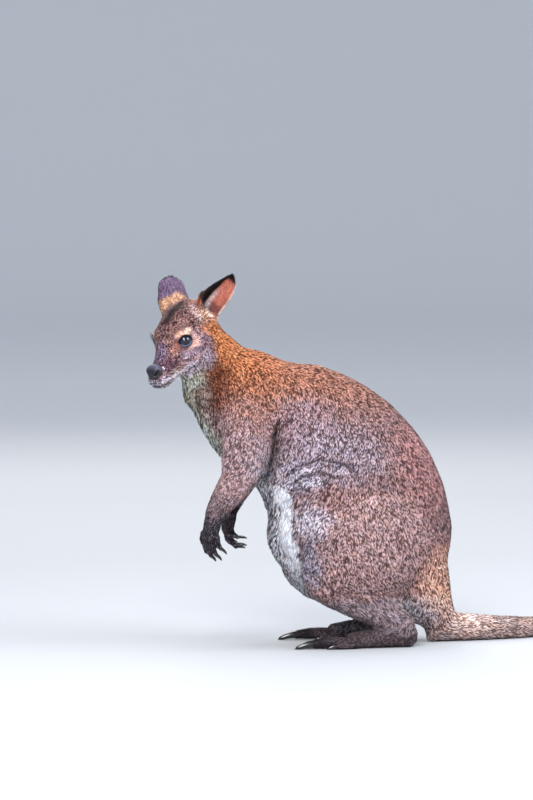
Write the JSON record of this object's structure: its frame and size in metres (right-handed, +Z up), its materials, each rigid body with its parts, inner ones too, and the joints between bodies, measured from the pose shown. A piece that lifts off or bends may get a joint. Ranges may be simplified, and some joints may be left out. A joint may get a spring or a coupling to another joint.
{
  "type": "wallaby",
  "caption": "Life-size still model of a red-necked wallaby sitting up on its haunches, head turned to its left, forepaws hanging, tail laid on the floor.",
  "frame": {"origin": "on the floor under the middle of the box round the whole animal", "axes": "+Z up; the body faces -X and the tail lies towards +X; the animal's left side is at -Y, its right side at +Y, where the tail's end curves to"},
  "size_m": [0.967, 0.437, 0.6525],
  "materials": {
    "coat": "thick grizzled fur, grey-brown on the back, rufous on the neck, pale grey below",
    "nose_leather": "moist pebbled black nose skin",
    "eye": "wet, very dark brown eye",
    "claw": "black horn with a dull shine"
  },
  "bodies": {
    "root": {"claw_fore_left_1": "claw", "claw_fore_left_2": "claw", "claw_fore_left_3": "claw", "claw_fore_left_4": "claw", "claw_fore_left_5": "claw", "claw_fore_right_1": "claw", "claw_fore_right_2": "claw", "claw_fore_right_3": "claw", "claw_fore_right_4": "claw", "claw_fore_right_5": "claw", "claw_hind_left_fifth": "claw", "claw_hind_left_fourth": "claw", "claw_hind_left_second": "claw", "claw_hind_left_third": "claw", "claw_hind_right_fifth": "claw", "claw_hind_right_fourth": "claw", "claw_hind_right_second": "claw", "claw_hind_right_third": "claw", "ear_left": "coat", "ear_right": "coat", "eye_left": "eye", "eye_right": "eye", "foot_left": "coat", "foot_right": "coat", "forearm_left": "coat", "forearm_right": "coat", "haunch_left": "coat", "haunch_right": "coat", "head": "coat", "neck": "coat", "nose": "nose_leather", "paw_left": "coat", "paw_right": "coat", "shin_left": "coat", "shin_right": "coat", "tail_middle": "coat", "tail_root": "coat", "tail_tip": "coat", "trunk": "coat", "upper_arm_left": "coat", "upper_arm_right": "coat"}
  },
  "joints": []
}
